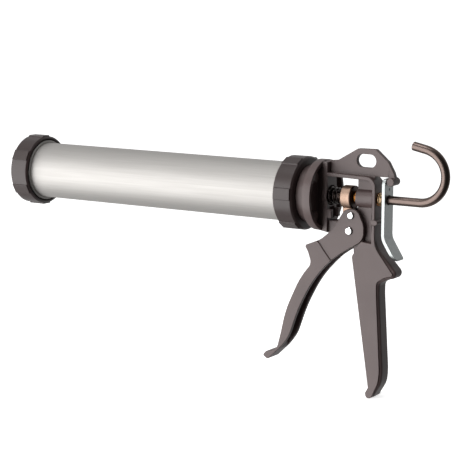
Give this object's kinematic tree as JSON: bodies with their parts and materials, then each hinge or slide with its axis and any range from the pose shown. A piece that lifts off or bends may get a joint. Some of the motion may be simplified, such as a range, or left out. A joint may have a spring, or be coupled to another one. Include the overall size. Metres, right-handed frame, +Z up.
{
  "type": "caulking gun",
  "caption": "Sausage-pack caulking gun: turning aluminium barrel with screw caps on a die-cast pistol handle, hooked push rod, trigger-driven catch and thumb release lever",
  "frame": {"origin": "the centre of the front face of the handle casting's round head, on the push rod's axis", "axes": "+X runs back along the push rod towards its hook, so the gun points to -X; +Z is up, away from the grip; +Y completes the frame, and Y = 0 is the casting's plane of symmetry"},
  "size_m": [0.4598, 0.069, 0.2322],
  "materials": {
    "black_paint": "satin black paint on die-cast aluminium and pressed steel",
    "black_nylon": "moulded black glass-filled nylon",
    "satin_aluminium": "satin anodised aluminium",
    "zinc_steel": "bright zinc-plated steel",
    "yellow_zinc": "yellow-passivated spring wire",
    "bronze": "sintered bronze, oil-dark in its pores",
    "dark_steel": "blued hardened steel",
    "black_steel": "black-oxide steel with a satin sheen",
    "seal_plastic": "natural polyethylene"
  },
  "bodies": {
    "handle": {"handle_casting": "black_paint", "keeper_plate": "zinc_steel", "keeper_screws": "zinc_steel", "rod_bush": "bronze", "pivot_pin": "zinc_steel", "pivot_pin_clip": "zinc_steel", "main_spring": "black_steel", "release_spring": "yellow_zinc"},
    "barrel": {"rear_cap": "black_nylon", "barrel_tube": "satin_aluminium", "front_collar": "satin_aluminium", "rear_collar": "satin_aluminium"},
    "cap": {"front_cap": "black_nylon"},
    "plunger": {"plunger_disc": "black_nylon", "plunger_cup": "seal_plastic", "front_washer": "zinc_steel", "rear_washer": "zinc_steel"},
    "rod": {"push_rod": "black_steel", "plunger_nut": "zinc_steel", "lock_nut": "zinc_steel"},
    "trigger": {"trigger": "black_paint", "drive_pin": "zinc_steel", "drive_pin_clip": "zinc_steel"},
    "catch": {"drive_catch": "bronze", "catch_washer": "dark_steel"},
    "lever": {"release_lever": "zinc_steel"}
  },
  "joints": [
    {"name": "barrel_turn", "type": "hinge", "parent": "handle", "child": "barrel", "pos_m": [0, 0, 0], "axis": [1, 0, 0], "continuous": true},
    {"name": "cap_unscrew", "type": "slide", "parent": "barrel", "child": "cap", "axis": [-1, 0, 0], "range_m": [0, 0.03]},
    {"name": "plunger_slide", "type": "slide", "parent": "handle", "child": "plunger", "axis": [1, 0, 0], "range_m": [0, 0.276]},
    {"name": "rod_turn", "type": "hinge", "parent": "plunger", "child": "rod", "pos_m": [0, 0, 0], "axis": [1, 0, 0], "continuous": true},
    {"name": "trigger_pull", "type": "hinge", "parent": "handle", "child": "trigger", "pos_m": [0.0351, 0, -0.0294], "axis": [0, -1, 0], "range_deg": [0, 25], "stiffness_Nm_per_rad": 0.6, "springref_deg": -28.65, "deforming": ["main_spring"]},
    {"name": "catch_slide", "type": "slide", "parent": "handle", "child": "catch", "axis": [-1, 0, 0], "range_m": [0, 0.0062]},
    {"name": "lever_tilt", "type": "hinge", "parent": "handle", "child": "lever", "pos_m": [0.0702, 0, 0.0166], "axis": [0, 1, 0], "range_deg": [0, 4.5], "stiffness_Nm_per_rad": 0.5, "springref_deg": -8.59, "deforming": ["release_spring"]}
  ],
  "couplings": [
    {"joint": "catch_slide", "follows": "trigger_pull", "m_per_rad": 0.013813}
  ]
}
